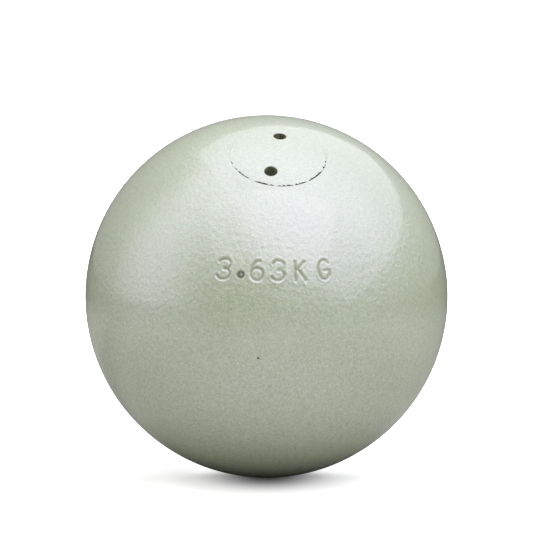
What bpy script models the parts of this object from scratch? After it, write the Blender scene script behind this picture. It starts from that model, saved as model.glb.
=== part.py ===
"""Shot put ball, modelled the way it is made, filled and closed.

An iron ball is drilled and tapped from its surface towards its middle. Lead balls in the drilled
chamber bring it up to weight, a felt disc packs them, and a screwed steel plug closes it on a flat
sealing ring. The plug's head is domed and flush with the ball, so that only its round seam and its
two spanner holes show.

Metres, +Z up, origin at the ball's centre. The ball lies with its plug up and to the front, which
is -Y. Pieces are modelled upright, with the chamber's axis on Z, and lean with their parent empty.
"""

import math

import bmesh
import bpy

MM = 0.001

# Driving dimensions: the ball and how it lies
BALL_DIAMETER = 99.0 * MM
PLUG_LEAN = math.radians(33.7)
PLUG_SWING = math.radians(6.5)

# Driving dimensions: the plug
PLUG_HEAD_DIAMETER = 25.1 * MM
PLUG_HEAD_DEPTH = 3.8 * MM
PLUG_SHOULDER = 1.55 * MM
PLUG_END_LENGTH = 1.6 * MM
PLUG_END_CHAMFER = 0.8 * MM
SPANNER_HOLE_DIAMETER = 3.5 * MM
SPANNER_HOLE_PITCH = 15.5 * MM
SPANNER_HOLE_DEPTH = 3.4 * MM
SPANNER_HOLE_TURN = math.radians(75.7)
SPANNER_HOLE_OFFSET_X = -0.75 * MM
SPANNER_HOLE_OFFSET_Y = -0.15 * MM

# Driving dimensions: the thread
THREAD_PITCH = 2.5 * MM
THREAD_TURNS = 5
THREAD_RUNOUT_TURNS = 0.25
THREAD_END_RISE = 0.1
THREAD_FLANK_ANGLE = math.radians(30.0)
TAPPED_TURNS_PAST_PLUG = 1
TAPPED_TURNS_PAST_SEAT = 0.5

# Driving dimensions: the sealing ring, the packing and the ballast
SEAL_THICKNESS = 1.5 * MM
SEAL_BEVEL = 0.3 * MM
FELT_THICKNESS = 4.2 * MM
FELT_BEVEL = 0.5 * MM
LEAD_LAYERS = 5
LEAD_BALLS_PER_LAYER = 5
DRILL_POINT_ANGLE = math.radians(118.0)

# Clearances between neighbours
FACE_GAP = 0.3 * MM
SEAM_GAP = 0.3 * MM
CREST_GAP = 0.3 * MM
FLANK_GAP = 0.25 * MM
WALL_GAP = 0.3 * MM
LEAD_GAP = 0.3 * MM

# Fineness of the round shapes
BALL_SEGMENTS = 64
BALL_RINGS = 32
DOME_STEPS = 5
THREAD_STEPS_PER_TURN = 32
SMALL_HOLE_SEGMENTS = 16
LEAD_SEGMENTS = 12
LEAD_RINGS = 6

# Radii that follow from them
ball_radius = BALL_DIAMETER / 2
head_radius = PLUG_HEAD_DIAMETER / 2
counterbore_radius = head_radius + SEAM_GAP
thread_radius = head_radius - PLUG_SHOULDER
chamber_radius = thread_radius - THREAD_PITCH / 2
shank_radius = chamber_radius - CREST_GAP
crest_radius = thread_radius - CREST_GAP / 2
groove_radius = thread_radius + CREST_GAP / 2
thread_crest_flat = THREAD_PITCH / 8

# Heights along the chamber's axis, from the ball's centre, going down from the plug's head
head_rim_height = math.sqrt(ball_radius**2 - head_radius**2)
head_underside = head_rim_height - PLUG_HEAD_DEPTH
seal_top = head_underside - FACE_GAP
seal_bottom = seal_top - SEAL_THICKNESS
seat_height = seal_bottom - FACE_GAP
thread_bottom = seat_height - THREAD_PITCH * THREAD_TURNS
plug_end = thread_bottom - PLUG_END_LENGTH
felt_top = plug_end - FACE_GAP
felt_bottom = felt_top - FELT_THICKNESS

# Lead balls: rings that fill the chamber's width, each ring lying in the hollows of the last
ring_ratio = 1 / (2 * math.sin(math.pi / LEAD_BALLS_PER_LAYER))
lead_diameter = (chamber_radius - WALL_GAP - ring_ratio * LEAD_GAP) / (ring_ratio + 0.5)
lead_spacing = lead_diameter + LEAD_GAP
lead_ring_radius = ring_ratio * lead_spacing
half_turn_chord = 2 * lead_ring_radius * math.sin(math.pi / LEAD_BALLS_PER_LAYER / 2)
lead_layer_step = math.sqrt(lead_spacing**2 - half_turn_chord**2)
lead_top_height = felt_bottom - FACE_GAP - lead_diameter / 2
lead_bottom_height = lead_top_height - lead_layer_step * (LEAD_LAYERS - 1)

# The drill's cone passes under the lowest ring with the same gap as the wall
cone_slope = 1 / math.tan(DRILL_POINT_ANGLE / 2)
lead_reach = (lead_diameter / 2 + WALL_GAP) / math.sin(DRILL_POINT_ANGLE / 2)
cone_rim_height = lead_bottom_height - lead_reach + (chamber_radius - lead_ring_radius) * cone_slope
cone_tip_height = cone_rim_height - chamber_radius * cone_slope

SMOOTH_ANGLE = math.radians(30.0)
CUT_THROUGH = 2.0 * MM


def clear_scene():
    """Starts from an empty scene."""
    for old in list(bpy.data.objects):
        bpy.data.objects.remove(old, do_unlink=True)


def plain_material(name, colour, roughness, metallic):
    """A plain material with the piece's colour and gloss."""
    material = bpy.data.materials.new(name)
    material.use_nodes = True
    shader = material.node_tree.nodes["Principled BSDF"]
    shader.inputs["Base Color"].default_value = (*colour, 1.0)
    shader.inputs["Roughness"].default_value = roughness
    shader.inputs["Metallic"].default_value = metallic
    return material


def add_empty(name, parent):
    """Adds an axis that pieces hang on."""
    empty = bpy.data.objects.new(name, None)
    bpy.context.collection.objects.link(empty)
    empty.parent = parent
    return empty


def mesh_from(name, bm):
    """Closes a bmesh into a mesh whose faces point out, smooth across gentle edges."""
    bmesh.ops.remove_doubles(bm, verts=bm.verts, dist=0.001 * MM)
    bmesh.ops.recalc_face_normals(bm, faces=bm.faces)
    mesh = bpy.data.meshes.new(name)
    bm.to_mesh(mesh)
    bm.free()
    mesh.shade_smooth()
    mesh.set_sharp_from_angle(angle=SMOOTH_ANGLE)
    return mesh


def add_piece(name, mesh, parent, material):
    """Adds a named piece on its parent. Copies may share one mesh and so one material."""
    piece = bpy.data.objects.new(name, mesh)
    bpy.context.collection.objects.link(piece)
    piece.parent = parent
    if not mesh.materials:
        mesh.materials.append(material)
    return piece


def make_cutter(piece):
    """Marks a piece as a tool for a Boolean, which is no part of the ball."""
    piece.hide_render = True
    piece.display_type = "WIRE"
    return piece


def boolean(piece, operation, tool):
    """Joins a tool's shape to a piece, or cuts it away, with a modifier that stays live."""
    modifier = piece.modifiers.new(tool.name, "BOOLEAN")
    modifier.operation = operation
    modifier.solver = "EXACT"
    modifier.object = tool


def turned_mesh(name, outline, segments, closed=False):
    """Turns an outline of (radius, height) points about Z. An open outline starts and ends on Z."""
    bm = bmesh.new()
    points = [bm.verts.new((radius, 0.0, height)) for radius, height in outline]
    edges = [bm.edges.new(pair) for pair in zip(points, points[1:])]
    if closed:
        edges.append(bm.edges.new((points[-1], points[0])))
    bmesh.ops.spin(
        bm,
        geom=points + edges,
        cent=(0.0, 0.0, 0.0),
        axis=(0.0, 0.0, 1.0),
        angle=math.tau,
        steps=segments,
        use_merge=True,
    )
    return mesh_from(name, bm)


def dome_outline(radius, rim_radius, steps):
    """Points along a sphere's arc, from its top on the axis out to a rim."""
    rim_angle = math.asin(rim_radius / radius)
    angles = [rim_angle * step / steps for step in range(steps + 1)]
    return [(radius * math.sin(angle), radius * math.cos(angle)) for angle in angles]


def helical_mesh(name, profile, first_turn, last_turn, fades_in, fades_out):
    """Sweeps a thread's profile of (radius, offset) points along the thread's right-hand helix.

    Turn 0 starts at thread_bottom, on +X. Where a thread fades, its profile sinks to its base.
    """
    bm = bmesh.new()
    base = min(radius for radius, offset in profile)
    steps = round((last_turn - first_turn) * THREAD_STEPS_PER_TURN)
    rings = []
    for step in range(steps + 1):
        turn = first_turn + step / THREAD_STEPS_PER_TURN
        rise = 1.0
        if fades_in:
            rise = min(rise, THREAD_END_RISE + (turn - first_turn) / THREAD_RUNOUT_TURNS)
        if fades_out:
            rise = min(rise, THREAD_END_RISE + (last_turn - turn) / THREAD_RUNOUT_TURNS)
        middle = thread_bottom + THREAD_PITCH * turn
        angle = math.tau * turn
        ring = []
        for radius, offset in profile:
            reach = base + (radius - base) * rise
            point = (reach * math.cos(angle), reach * math.sin(angle), middle + offset)
            ring.append(bm.verts.new(point))
        rings.append(ring)
    sides = len(profile)
    for ring, following in zip(rings, rings[1:]):
        for side in range(sides):
            after = (side + 1) % sides
            bm.faces.new((ring[side], ring[after], following[after], following[side]))
    bm.faces.new(rings[0])
    bm.faces.new(rings[-1])
    return mesh_from(name, bm)


def thread_ridge_profile():
    """The plug's thread: a flat crest and two slanted flanks that run down into the shank."""
    crest_half = thread_crest_flat / 2
    base_radius = shank_radius - CREST_GAP
    base_half = crest_half + (crest_radius - base_radius) * math.tan(THREAD_FLANK_ANGLE)
    return [
        (base_radius, -base_half),
        (crest_radius, -crest_half),
        (crest_radius, crest_half),
        (base_radius, base_half),
    ]


def thread_groove_profile():
    """The ball's thread groove: the ridge's flanks moved out by their gap, open to the bore."""
    slope = math.tan(THREAD_FLANK_ANGLE)
    flank_shift = FLANK_GAP / math.cos(THREAD_FLANK_ANGLE)
    bottom_half = thread_crest_flat / 2 + (crest_radius - groove_radius) * slope + flank_shift
    mouth_half = bottom_half + (groove_radius - chamber_radius) * slope
    inside_radius = chamber_radius - CREST_GAP
    return [
        (inside_radius, -mouth_half),
        (chamber_radius, -mouth_half),
        (groove_radius, -bottom_half),
        (groove_radius, bottom_half),
        (chamber_radius, mouth_half),
        (inside_radius, mouth_half),
    ]


def make_chamber_cutter(axis, material):
    """Everything drilled out of the ball: counterbore for the head, flat seat, chamber and cone."""
    above_ball = ball_radius + CUT_THROUGH
    outline = [
        (0.0, above_ball),
        (counterbore_radius, above_ball),
        (counterbore_radius, seat_height),
        (chamber_radius, seat_height),
        (chamber_radius, cone_rim_height),
        (0.0, cone_tip_height),
    ]
    mesh = turned_mesh("chamber_cutter", outline, BALL_SEGMENTS)
    return make_cutter(add_piece("chamber_cutter", mesh, axis, material))


def make_tap_cutter(axis, material):
    """The tapped thread: it runs past the plug's end below, and out through the seat above."""
    mesh = helical_mesh(
        "tap_cutter",
        thread_groove_profile(),
        -TAPPED_TURNS_PAST_PLUG,
        THREAD_TURNS + TAPPED_TURNS_PAST_SEAT,
        fades_in=True,
        fades_out=False,
    )
    return make_cutter(add_piece("tap_cutter", mesh, axis, material))


def make_ball_body(axis, paint):
    """The cast ball, drilled first and tapped second."""
    bm = bmesh.new()
    bmesh.ops.create_uvsphere(bm, u_segments=BALL_SEGMENTS, v_segments=BALL_RINGS, radius=ball_radius)
    ball = add_piece("ball_body", mesh_from("ball_body", bm), axis, paint)
    boolean(ball, "DIFFERENCE", make_chamber_cutter(axis, paint))
    boolean(ball, "DIFFERENCE", make_tap_cutter(axis, paint))


def make_seal_ring(lift_axis, rubber):
    """A flat ring between the head's underside and the seat, wide enough to pass the thread."""
    outline = [
        (groove_radius, seal_bottom + SEAL_BEVEL),
        (groove_radius + SEAL_BEVEL, seal_bottom),
        (head_radius - SEAL_BEVEL, seal_bottom),
        (head_radius, seal_bottom + SEAL_BEVEL),
        (head_radius, seal_top - SEAL_BEVEL),
        (head_radius - SEAL_BEVEL, seal_top),
        (groove_radius + SEAL_BEVEL, seal_top),
        (groove_radius, seal_top - SEAL_BEVEL),
    ]
    mesh = turned_mesh("seal_ring", outline, THREAD_STEPS_PER_TURN, closed=True)
    add_piece("seal_ring", mesh, lift_axis, rubber)


def make_spanner_hole_cutter(number, turn_axis, material):
    """A blind round hole for a pin spanner, drilled along the plug's axis."""
    side = 1 if number == 1 else -1
    reach = side * SPANNER_HOLE_PITCH / 2
    x = SPANNER_HOLE_OFFSET_X + reach * math.cos(SPANNER_HOLE_TURN)
    y = SPANNER_HOLE_OFFSET_Y + reach * math.sin(SPANNER_HOLE_TURN)
    surface_height = math.sqrt(ball_radius**2 - x**2 - y**2)
    length = SPANNER_HOLE_DEPTH + CUT_THROUGH
    bm = bmesh.new()
    bmesh.ops.create_cone(
        bm,
        cap_ends=True,
        segments=SMALL_HOLE_SEGMENTS,
        radius1=SPANNER_HOLE_DIAMETER / 2,
        radius2=SPANNER_HOLE_DIAMETER / 2,
        depth=length,
    )
    name = f"spanner_hole_cutter_{number}"
    cutter = make_cutter(add_piece(name, mesh_from(name, bm), turn_axis, material))
    cutter.location = (x, y, surface_height - SPANNER_HOLE_DEPTH + length / 2)
    return cutter


def make_plug(turn_axis, paint):
    """A domed head on a shank with a real helical thread, and two holes for a pin spanner."""
    outline = dome_outline(ball_radius, head_radius, DOME_STEPS)
    outline += [
        (head_radius, head_underside),
        (shank_radius, head_underside),
        (shank_radius, plug_end + PLUG_END_CHAMFER),
        (shank_radius - PLUG_END_CHAMFER, plug_end),
        (0.0, plug_end),
    ]
    plug = add_piece("plug", turned_mesh("plug", outline, BALL_SEGMENTS), turn_axis, paint)
    ridge_mesh = helical_mesh(
        "plug_thread", thread_ridge_profile(), 0, THREAD_TURNS, fades_in=True, fades_out=True
    )
    ridge = make_cutter(add_piece("plug_thread", ridge_mesh, turn_axis, paint))
    boolean(plug, "UNION", ridge)
    for number in (1, 2):
        boolean(plug, "DIFFERENCE", make_spanner_hole_cutter(number, turn_axis, paint))


def make_packing_felt(axis, felt):
    """A felt disc, pressed between the plug's end and the lead so that nothing rattles."""
    radius = chamber_radius - WALL_GAP
    outline = [
        (0.0, felt_top),
        (radius - FELT_BEVEL, felt_top),
        (radius, felt_top - FELT_BEVEL),
        (radius, felt_bottom + FELT_BEVEL),
        (radius - FELT_BEVEL, felt_bottom),
        (0.0, felt_bottom),
    ]
    mesh = turned_mesh("packing_felt", outline, THREAD_STEPS_PER_TURN)
    add_piece("packing_felt", mesh, axis, felt)


def make_lead_balls(axis, lead):
    """Ballast: rings of balls, every second ring turned by half a place."""
    bm = bmesh.new()
    bmesh.ops.create_uvsphere(
        bm, u_segments=LEAD_SEGMENTS, v_segments=LEAD_RINGS, radius=lead_diameter / 2
    )
    mesh = mesh_from("lead_ball", bm)
    place_angle = math.tau / LEAD_BALLS_PER_LAYER
    number = 0
    for layer in range(LEAD_LAYERS):
        height = lead_top_height - lead_layer_step * layer
        first_angle = place_angle / 2 * (layer % 2)
        for place in range(LEAD_BALLS_PER_LAYER):
            number += 1
            angle = first_angle + place_angle * place
            ball = add_piece(f"lead_ball_{number:02d}", mesh, axis, lead)
            ball.location = (
                lead_ring_radius * math.cos(angle),
                lead_ring_radius * math.sin(angle),
                height,
            )


def main():
    clear_scene()
    paint = plain_material("green_paint", (0.45, 0.49, 0.40), 0.35, 0.0)
    rubber = plain_material("black_rubber", (0.02, 0.02, 0.02), 0.7, 0.0)
    felt = plain_material("grey_felt", (0.32, 0.29, 0.25), 0.95, 0.0)
    lead = plain_material("dull_lead", (0.22, 0.23, 0.25), 0.55, 1.0)

    chamber_axis = add_empty("chamber_axis", None)
    chamber_axis.rotation_euler = (PLUG_LEAN, 0.0, PLUG_SWING)
    plug_lift_axis = add_empty("plug_lift_axis", chamber_axis)
    plug_turn_axis = add_empty("plug_turn_axis", plug_lift_axis)

    make_ball_body(chamber_axis, paint)
    make_packing_felt(chamber_axis, felt)
    make_lead_balls(chamber_axis, lead)
    make_seal_ring(plug_lift_axis, rubber)
    make_plug(plug_turn_axis, paint)


main()
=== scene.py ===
import math
import random

import bmesh
import bpy
import numpy as np
from mathutils import Matrix, Vector, noise


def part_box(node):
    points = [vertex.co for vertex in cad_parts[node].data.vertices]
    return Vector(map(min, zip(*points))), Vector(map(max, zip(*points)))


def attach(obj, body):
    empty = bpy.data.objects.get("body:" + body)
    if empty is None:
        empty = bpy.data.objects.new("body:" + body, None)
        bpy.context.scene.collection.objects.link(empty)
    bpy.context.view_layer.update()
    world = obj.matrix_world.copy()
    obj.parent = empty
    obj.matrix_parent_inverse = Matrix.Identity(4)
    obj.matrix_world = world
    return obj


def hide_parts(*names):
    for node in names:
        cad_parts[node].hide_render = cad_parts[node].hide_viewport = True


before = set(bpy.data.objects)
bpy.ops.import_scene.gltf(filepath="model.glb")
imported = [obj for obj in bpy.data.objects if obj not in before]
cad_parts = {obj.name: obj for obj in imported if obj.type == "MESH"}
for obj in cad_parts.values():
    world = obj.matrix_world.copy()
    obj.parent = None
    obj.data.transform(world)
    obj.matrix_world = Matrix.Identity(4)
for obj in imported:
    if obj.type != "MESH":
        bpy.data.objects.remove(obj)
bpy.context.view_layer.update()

# A painted iron shot put ball with a screwed plug, its rubber sealing ring, felt packing and lead.
# Pieces are turned upright about Z, with the ball's centre at the origin, and then leaned over.

MM = 0.001

# The ball, and how its drilled chamber leans
BALL_RADIUS = 49.5 * MM
CHAMBER_LEAN = math.radians(33.7)
CHAMBER_SWING = math.radians(6.5)

# The drilled chamber, upward from the ball's centre
COUNTERBORE_RADIUS = 12.85 * MM
CHAMBER_RADIUS = 9.75 * MM
SEAT_HEIGHT = 41.98 * MM
SEAT_CHAMFER = 0.25 * MM
CONE_RIM_HEIGHT = -9.20 * MM
CONE_TIP_HEIGHT = -15.06 * MM

# The plug: a flanged head on a threaded shank
HEAD_RADIUS = 12.55 * MM
HEAD_UNDERSIDE = 44.08 * MM
HEAD_EDGE_ROUND = 0.35 * MM
HEAD_EDGE_SOFT = 0.10 * MM
SHANK_RADIUS = 9.45 * MM
SHANK_FILLET = 0.3 * MM
SHANK_FILLET_SOFT = 0.09 * MM
PLUG_END = 27.88 * MM
PLUG_END_CHAMFER = 0.8 * MM
SPANNER_HOLE_RADIUS = 1.72 * MM
SPANNER_HOLE_PITCH = 15.5 * MM
SPANNER_HOLE_DEPTH = 3.4 * MM
SPANNER_HOLE_TURN = math.radians(75.7)
SPANNER_HOLE_OFFSET_X = -0.75 * MM
SPANNER_HOLE_OFFSET_Y = 0.02 * MM
SPANNER_HOLE_LIP = 0.14 * MM
DRILL_POINT_DEPTH = 0.6 * MM

# The thread
THREAD_PITCH = 2.5 * MM
THREAD_BOTTOM = 29.48 * MM
THREAD_TURNS = 5
TAPPED_TURNS_BELOW = 1
TAPPED_TURNS = 6.5
THREAD_CREST_RADIUS = 10.85 * MM
THREAD_GROOVE_RADIUS = 11.15 * MM
THREAD_CREST_HALF = 0.156 * MM
THREAD_FLANK_SLOPE = math.tan(math.radians(30.0))
THREAD_FLANK_GAP = 0.289 * MM
THREAD_SINK = 0.3 * MM
THREAD_SOFT = 0.05 * MM
THREAD_FADE_TURNS = 0.25
THREAD_STEPS_PER_TURN = 72

# The seam between the plug and the ball, where the paint bridges it or has cracked
MOUTH_RADIUS = 12.72 * MM
PAINTED_HEAD_RADIUS = 12.708 * MM
SEAM_ROUND = 0.035 * MM
PAINT_REACH = 0.5 * MM
PAINT_TAPER = 0.15 * MM
SEAM_BEAD_RADIUS = 13.0 * MM
SEAM_BEAD_HALF_WIDTH = 0.40 * MM
SEAM_BEAD_HEIGHT = 0.05 * MM

# The sealing ring
SEAL_INNER_RADIUS = 11.15 * MM
SEAL_OUTER_RADIUS = 12.55 * MM
SEAL_BOTTOM = 42.28 * MM
SEAL_TOP = 43.78 * MM
SEAL_ROUND = 0.3 * MM
PARTING_RISE = 0.06 * MM
PARTING_HALF_BASE = 0.06 * MM
PARTING_HALF_TOP = 0.02 * MM

# The felt packing
FELT_RADIUS = 9.45 * MM
FELT_BOTTOM = 23.38 * MM
FELT_TOP = 27.58 * MM
FELT_ROUND = 0.6 * MM
FELT_DENT = 0.35 * MM
FELT_RINGS = 14

# The lead balls, in rings of five. A sprue is clipped at a share of each one's height
LEAD_RADIUS = 3.40 * MM
LEAD_BODY_RADIUS = 3.34 * MM
LEAD_PARTING_RADIUS = 3.39 * MM
LEAD_SPRUE_CUT = 0.95
LEAD_IN_RING = 5
LEAD_RING_RADIUS = 6.04 * MM

# Vertices closer than this are one
SAME_PLACE = 0.001 * MM

# Fineness of the round shapes
BALL_SEGMENTS = 192
BALL_RINGS = 84
PLUG_SEGMENTS = 384
DRILL_SEGMENTS = 64
SEAL_SEGMENTS = 160
FELT_SEGMENTS = 96
DOME_RINGS = 22
ROUND_STEPS = 5

SMOOTH_ANGLE = math.radians(35.0)
FELT_SMOOTH_ANGLE = math.radians(60.0)
LEAD_SMOOTH_ANGLE = math.radians(13.0)

lean = Matrix.Rotation(CHAMBER_SWING, 3, "Z") @ Matrix.Rotation(CHAMBER_LEAN, 3, "X")
chamber_up = lean @ Vector((0.0, 0.0, 1.0))


def choose(piece):
    """Makes a piece the only selected one and the active one."""
    bpy.ops.object.select_all(action="DESELECT")
    piece.select_set(True)
    bpy.context.view_layer.objects.active = piece


def start_editing(piece, kind="VERT", action="DESELECT"):
    """Opens one piece alone in edit mode, with all of it selected or nothing."""
    choose(piece)
    bpy.ops.object.mode_set(mode="EDIT")
    bpy.ops.mesh.select_mode(type=kind)
    bpy.ops.mesh.select_all(action=action)


def stop_editing():
    bpy.ops.object.mode_set(mode="OBJECT")


def finish_solid():
    """Turns all faces of the edited piece outward, and ends its editing."""
    bpy.ops.mesh.select_all(action="SELECT")
    bpy.ops.mesh.normals_make_consistent()
    stop_editing()


def select_where(piece, kind, wanted):
    """Selects the vertices, edges or faces for which wanted(element) holds, and counts them."""
    bm = bmesh.from_edit_mesh(piece.data)
    chosen = 0
    for element in getattr(bm, kind):
        if wanted(element):
            element.select_set(True)
            chosen += 1
    bm.select_flush_mode()
    bmesh.update_edit_mesh(piece.data)
    return chosen


def curve(x, y, width, height, first, last, steps=None):
    """Points along an ellipse from one angle to another, in degrees anticlockwise from its right."""
    steps = steps or max(3, round(abs(last - first) / 15))
    angles = [math.radians(first + (last - first) * step / steps) for step in range(steps + 1)]
    return [(x + width / 2 * math.cos(angle), y + height / 2 * math.sin(angle)) for angle in angles]


def arc(radius, height, size, first, last, steps=ROUND_STEPS):
    return curve(radius, height, 2 * size, 2 * size, first, last, steps)


def round_corner(radius, height, size, first):
    """A quarter round's points about a centre, from an angle in degrees, anticlockwise."""
    return arc(radius, height, size, first, first + 90, 4)


def draw_outline(name, outline, closed):
    """Draws (radius, height) points as a line in the XZ plane, by extruding one vertex along it."""
    bpy.ops.mesh.primitive_plane_add(size=MM)
    piece = bpy.context.object
    piece.name = name
    piece.data.name = name
    start_editing(piece, action="SELECT")
    bpy.ops.mesh.merge(type="CENTER")
    bpy.ops.transform.translate(value=(outline[0][0], 0.0, outline[0][1]))
    for last, following in zip(outline, outline[1:]):
        step = (following[0] - last[0], 0.0, following[1] - last[1])
        bpy.ops.mesh.extrude_vertices_move(TRANSFORM_OT_translate={"value": step})
    if closed:
        bpy.ops.mesh.select_all(action="DESELECT")
        select_where(piece, "verts", lambda vertex: len(vertex.link_edges) == 1)
        bpy.ops.mesh.edge_face_add()
    stop_editing()
    return piece


def turn_on_lathe(name, outline, segments, closed=False):
    """Spins an outline of (radius, height) points about Z. An open one starts and ends on Z."""
    piece = draw_outline(name, outline, closed)
    start_editing(piece, action="SELECT")
    bpy.ops.mesh.spin(steps=segments, angle=math.tau, center=(0.0, 0.0, 0.0), axis=(0.0, 0.0, 1.0))
    bpy.ops.mesh.select_all(action="SELECT")
    bpy.ops.mesh.remove_doubles(threshold=SAME_PLACE)
    finish_solid()
    return piece


def apply_modifier(piece, modifier):
    choose(piece)
    bpy.ops.object.modifier_apply(modifier=modifier.name)


def combine(piece, tool, operation):
    """Cuts a tool's shape out of a piece, or adds it, and takes the tool away."""
    modifier = piece.modifiers.new(tool.name, "BOOLEAN")
    modifier.operation = operation
    modifier.solver = "MANIFOLD"
    modifier.object = tool
    apply_modifier(piece, modifier)
    bpy.data.objects.remove(tool, do_unlink=True)


def wind_thread(name, profile, first_turn, turns):
    """Winds a closed profile of (radius, offset) points up a right-hand helix, and closes its ends."""
    start = THREAD_BOTTOM + THREAD_PITCH * first_turn
    thread = draw_outline(name, [(radius, start + offset) for radius, offset in profile], True)
    screw = thread.modifiers.new("thread", "SCREW")
    screw.axis = "Z"
    screw.angle = math.tau * turns
    screw.screw_offset = THREAD_PITCH * turns
    screw.steps = round(THREAD_STEPS_PER_TURN * turns)
    screw.render_steps = screw.steps
    apply_modifier(thread, screw)
    start_editing(thread, action="SELECT")
    bpy.ops.mesh.fill_holes(sides=0)
    finish_solid()
    return thread


def read_places(piece):
    """The piece's vertex places as an array of rows."""
    places = np.zeros(len(piece.data.vertices) * 3)
    piece.data.vertices.foreach_get("co", places)
    return places.reshape(-1, 3)


def write_places(piece, places):
    piece.data.vertices.foreach_set("co", places.ravel())
    piece.data.update()


def smooth_step(value, low, high):
    """Rises gently from 0 at low to 1 at high."""
    share = np.clip((value - low) / (high - low), 0.0, 1.0)
    return share * share * (3.0 - 2.0 * share)


def lean_over(piece):
    """Turns an upright piece to the chamber's lean, in its mesh."""
    choose(piece)
    piece.rotation_euler = (CHAMBER_LEAN, 0.0, CHAMBER_SWING)
    bpy.ops.object.transform_apply(location=False, rotation=True, scale=False)


def shade_smooth(piece, angle=SMOOTH_ANGLE):
    choose(piece)
    bpy.ops.object.shade_smooth_by_angle(angle=angle)


# Nodes

# Sockets of the mix node when it mixes colours
MIX_SHARE = 0
MIX_FIRST = 6
MIX_SECOND = 7
MIX_RESULT = 2

SPECK_SHARPNESS = 12.0


def tree_of(*values):
    """The tree that the first socket among some values is in."""
    return next(value.id_data for value in values if isinstance(value, bpy.types.NodeSocket))


def connect(value, socket):
    """Links a value from another node to a socket, or sets a plain value there."""
    if isinstance(value, bpy.types.NodeSocket):
        socket.id_data.links.new(value, socket)
    else:
        socket.default_value = value


def add_node(tree, kind, inputs=None, **settings):
    """Adds a node with its settings, and links or sets its inputs."""
    made = tree.nodes.new(kind)
    for name, value in settings.items():
        setattr(made, name, value)
    for name, value in (inputs or {}).items():
        connect(value, made.inputs[name])
    return made


def maths(operation, first, second=0.0, clamp=False):
    tree = tree_of(first, second)
    inputs = {0: first, 1: second}
    made = add_node(tree, "ShaderNodeMath", inputs, operation=operation, use_clamp=clamp)
    return made.outputs[0]


def plus(first, second):
    return maths("ADD", first, second)


def minus(first, second):
    return maths("SUBTRACT", first, second)


def times(first, second):
    return maths("MULTIPLY", first, second)


def length_of(vector):
    made = add_node(vector.id_data, "ShaderNodeVectorMath", {0: vector}, operation="LENGTH")
    return made.outputs["Value"]


def axes_of(vector):
    return add_node(vector.id_data, "ShaderNodeSeparateXYZ", {"Vector": vector}).outputs


def ramp(value, low, high, to_low=0.0, to_high=1.0, kind="SMOOTHSTEP"):
    """Maps a value from low..high to to_low..to_high, smoothly unless told otherwise."""
    made = add_node(
        value.id_data,
        "ShaderNodeMapRange",
        {"Value": value, "From Min": low, "From Max": high, "To Min": to_low, "To Max": to_high},
        interpolation_type=kind,
    )
    return made.outputs["Result"]


def mix_colour(share, first, second, blend="MIX"):
    inputs = {MIX_SHARE: share, MIX_FIRST: first, MIX_SECOND: second}
    tree = tree_of(share, first, second)
    made = add_node(tree, "ShaderNodeMix", inputs, data_type="RGBA", blend_type=blend)
    return made.outputs[MIX_RESULT]


def join_colour(red, green, blue):
    inputs = {"Red": red, "Green": green, "Blue": blue}
    return add_node(red.id_data, "ShaderNodeCombineColor", inputs).outputs["Color"]


def noise_value(place, scale, detail=2.0, roughness=0.5):
    inputs = {"Vector": place, "Scale": scale, "Detail": detail, "Roughness": roughness}
    return add_node(place.id_data, "ShaderNodeTexNoise", inputs).outputs["Fac"]


def bump(height):
    """A bump whose height is in metres."""
    inputs = {"Height": height, "Strength": 1.0, "Distance": 1.0}
    return add_node(height.id_data, "ShaderNodeBump", inputs).outputs["Normal"]


def feed(shader, **inputs):
    """Links or sets a shader's inputs, named with underscores for spaces."""
    for name, value in inputs.items():
        label = name.replace("_", " ").title().replace("Ior", "IOR")
        connect(value, shader.inputs[label])


def new_group(name, numbers, results):
    """A node group given a place and numbers. Returns it, what it is given and its results."""
    group = bpy.data.node_groups.new(name, "ShaderNodeTree")
    group.interface.new_socket("Place", in_out="INPUT", socket_type="NodeSocketVector")
    for label in numbers:
        group.interface.new_socket(label, in_out="INPUT", socket_type="NodeSocketFloat")
    for label in results:
        group.interface.new_socket(label, in_out="OUTPUT", socket_type="NodeSocketFloat")
    given = group.nodes.new("NodeGroupInput")
    result = group.nodes.new("NodeGroupOutput")
    return group, given.outputs, result.inputs


def use_group(group, place, *numbers):
    """Adds a group with a place and numbers for its inputs, in order, and returns its outputs."""
    inputs = dict(enumerate((place, *numbers)))
    return add_node(place.id_data, "ShaderNodeGroup", inputs, node_tree=group).outputs


def make_grain_group():
    """Fine unevenness at two sizes. Height is in metres, Shade is around 0."""
    group, given, result = new_group(
        "fine_grain",
        ("Coarse Scale", "Fine Scale", "Coarse Height", "Fine Height"),
        ("Height", "Shade"),
    )
    coarse = noise_value(given["Place"], given["Coarse Scale"], 1.0)
    fine = noise_value(given["Place"], given["Fine Scale"], 2.0)
    coarse_height = times(coarse, given["Coarse Height"])
    fine_height = times(fine, given["Fine Height"])
    connect(plus(coarse_height, fine_height), result["Height"])
    connect(minus(plus(times(coarse, 0.25), fine), 0.625), result["Shade"])
    return group


def make_specks_group():
    """Scattered specks: a share of the cells holds a small round one each."""
    group, given, result = new_group("specks", ("Scale", "Size", "Share"), ("Mask",))
    inputs = {"Vector": given["Place"], "Scale": given["Scale"]}
    cells = add_node(group, "ShaderNodeTexVoronoi", inputs).outputs
    chance = add_node(group, "ShaderNodeSeparateColor", {"Color": cells["Color"]}).outputs
    picked = maths("LESS_THAN", chance["Red"], given["Share"])
    size = times(given["Size"], chance["Green"])
    inside = minus(size, cells["Distance"])
    edge = maths("MULTIPLY", inside, SPECK_SHARPNESS, clamp=True)
    connect(times(edge, picked), result["Mask"])
    return group


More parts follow.
